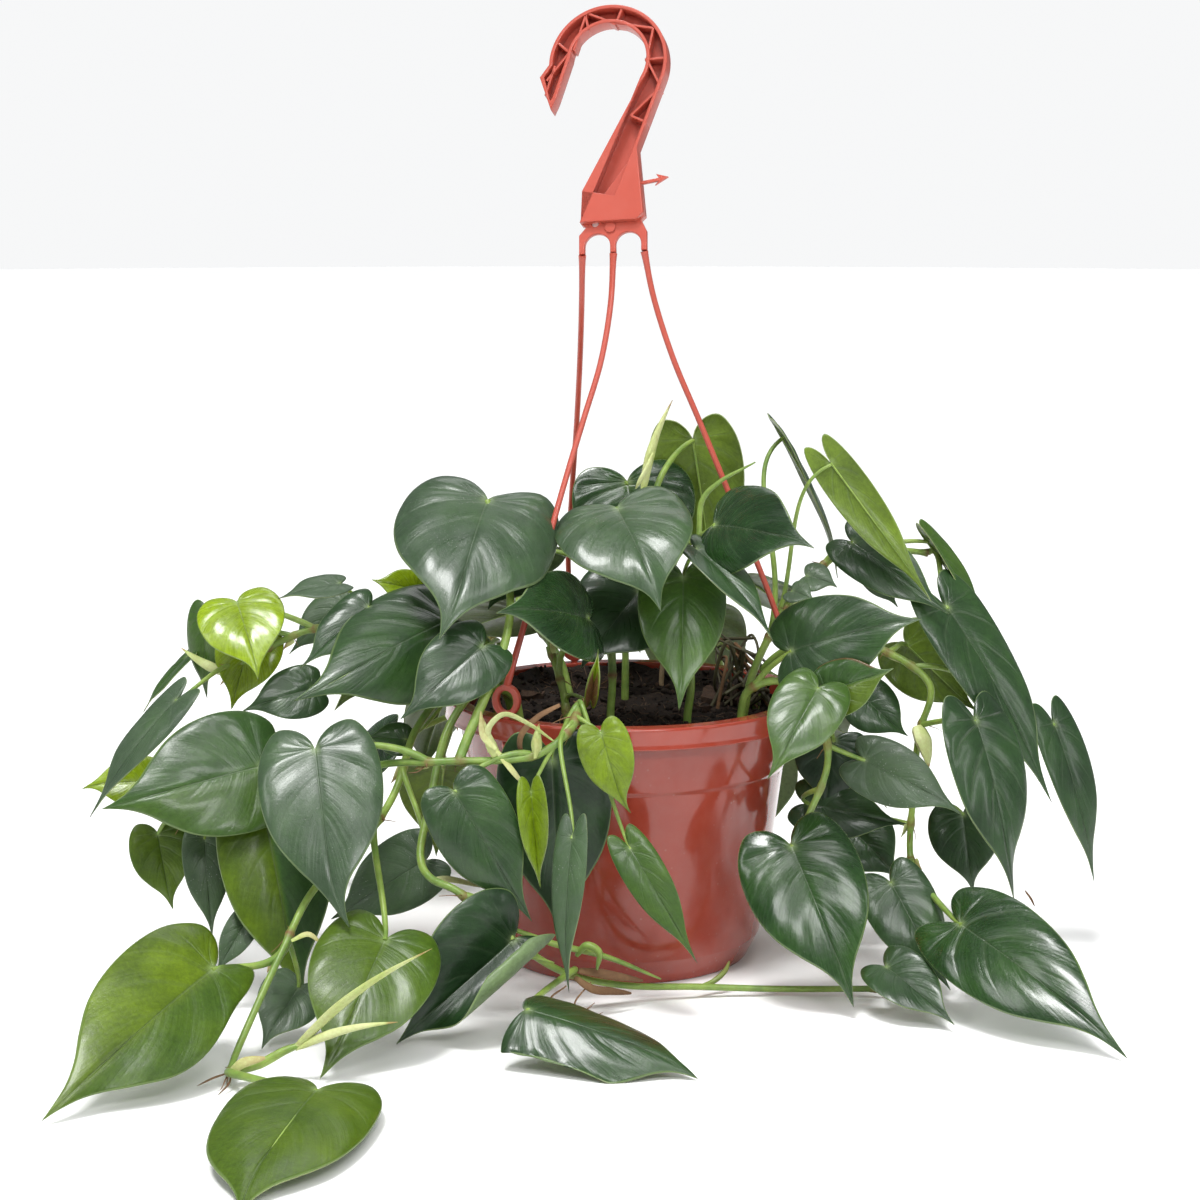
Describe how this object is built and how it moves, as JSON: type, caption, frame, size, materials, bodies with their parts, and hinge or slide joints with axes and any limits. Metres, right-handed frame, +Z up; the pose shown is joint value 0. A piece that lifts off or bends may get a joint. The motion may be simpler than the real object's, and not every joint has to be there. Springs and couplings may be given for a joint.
{
  "type": "potted plant",
  "caption": "Trailing heartleaf philodendron in a round stepped plastic pot with a clip-on plastic hanger that ends in a hook.",
  "frame": {"origin": "centre of the pot's foot, on its underside", "axes": "+Z up along the pot's axis; -Y is the front, where the leaves that lie on the surface reach furthest"},
  "size_m": [0.5321, 0.5365, 0.4973],
  "materials": {
    "pot_plastic": "gloss",
    "hanger_plastic": "satin",
    "soil": "matte",
    "foliage": "satin"
  },
  "bodies": {
    "root": {"pot": "pot_plastic", "soil": "soil", "hook": "hanger_plastic", "strand_frontLeft": "hanger_plastic", "strand_right": "hanger_plastic", "strand_back": "hanger_plastic", "crown_centre": "foliage", "crown_right": "foliage", "crown_left": "foliage", "front_vine": "foliage", "left_high": "foliage", "left_floor": "foliage", "front_floor": "foliage", "right_high": "foliage", "right_mid": "foliage", "right_far": "foliage", "back_top": "foliage", "back_left": "foliage", "back_right": "foliage"}
  },
  "joints": []
}
